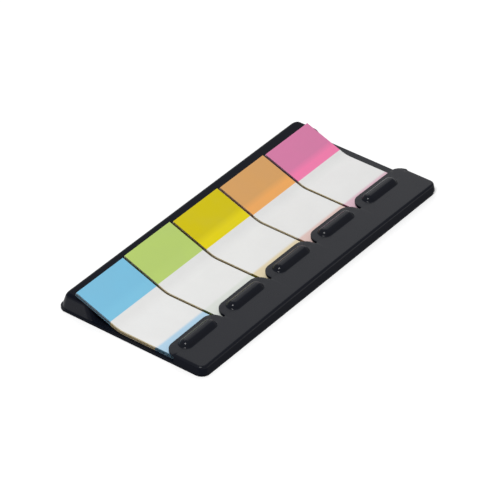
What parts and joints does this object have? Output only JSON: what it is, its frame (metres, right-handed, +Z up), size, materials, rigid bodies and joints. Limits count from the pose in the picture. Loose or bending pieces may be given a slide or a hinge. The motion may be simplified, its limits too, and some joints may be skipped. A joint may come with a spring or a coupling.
{
  "type": "sticky index tabs",
  "caption": "Flat black dispenser of film index tabs, side by side, their coloured ends raised along a back ridge and their white ends under a ribbed cover strip.",
  "frame": {"origin": "bottom centre of the tray, on the table", "axes": "+X along the row of stacks, +Y from the cover strip to the raised coloured ends, +Z up"},
  "size_m": [0.0856, 0.0404, 0.0061],
  "materials": {
    "black_plastic": "glossy formed sheet",
    "blue_film": "satin translucent film, coloured at one end and white over the rest",
    "green_film": "satin translucent film, coloured at one end and white over the rest",
    "yellow_film": "satin translucent film, coloured at one end and white over the rest",
    "orange_film": "satin translucent film, coloured at one end and white over the rest",
    "pink_film": "satin translucent film, coloured at one end and white over the rest"
  },
  "bodies": {
    "root": {"base_tray": "black_plastic", "cover_strip": "black_plastic", "blue_tab_pad": "blue_film", "blue_second_tab": "blue_film", "blue_top_tab": "blue_film", "green_tab_pad": "green_film", "green_second_tab": "green_film", "green_top_tab": "green_film", "yellow_tab_pad": "yellow_film", "yellow_second_tab": "yellow_film", "yellow_top_tab": "yellow_film", "orange_tab_pad": "orange_film", "orange_second_tab": "orange_film", "orange_top_tab": "orange_film", "pink_tab_pad": "pink_film", "pink_second_tab": "pink_film", "pink_top_tab": "pink_film"}
  },
  "joints": []
}
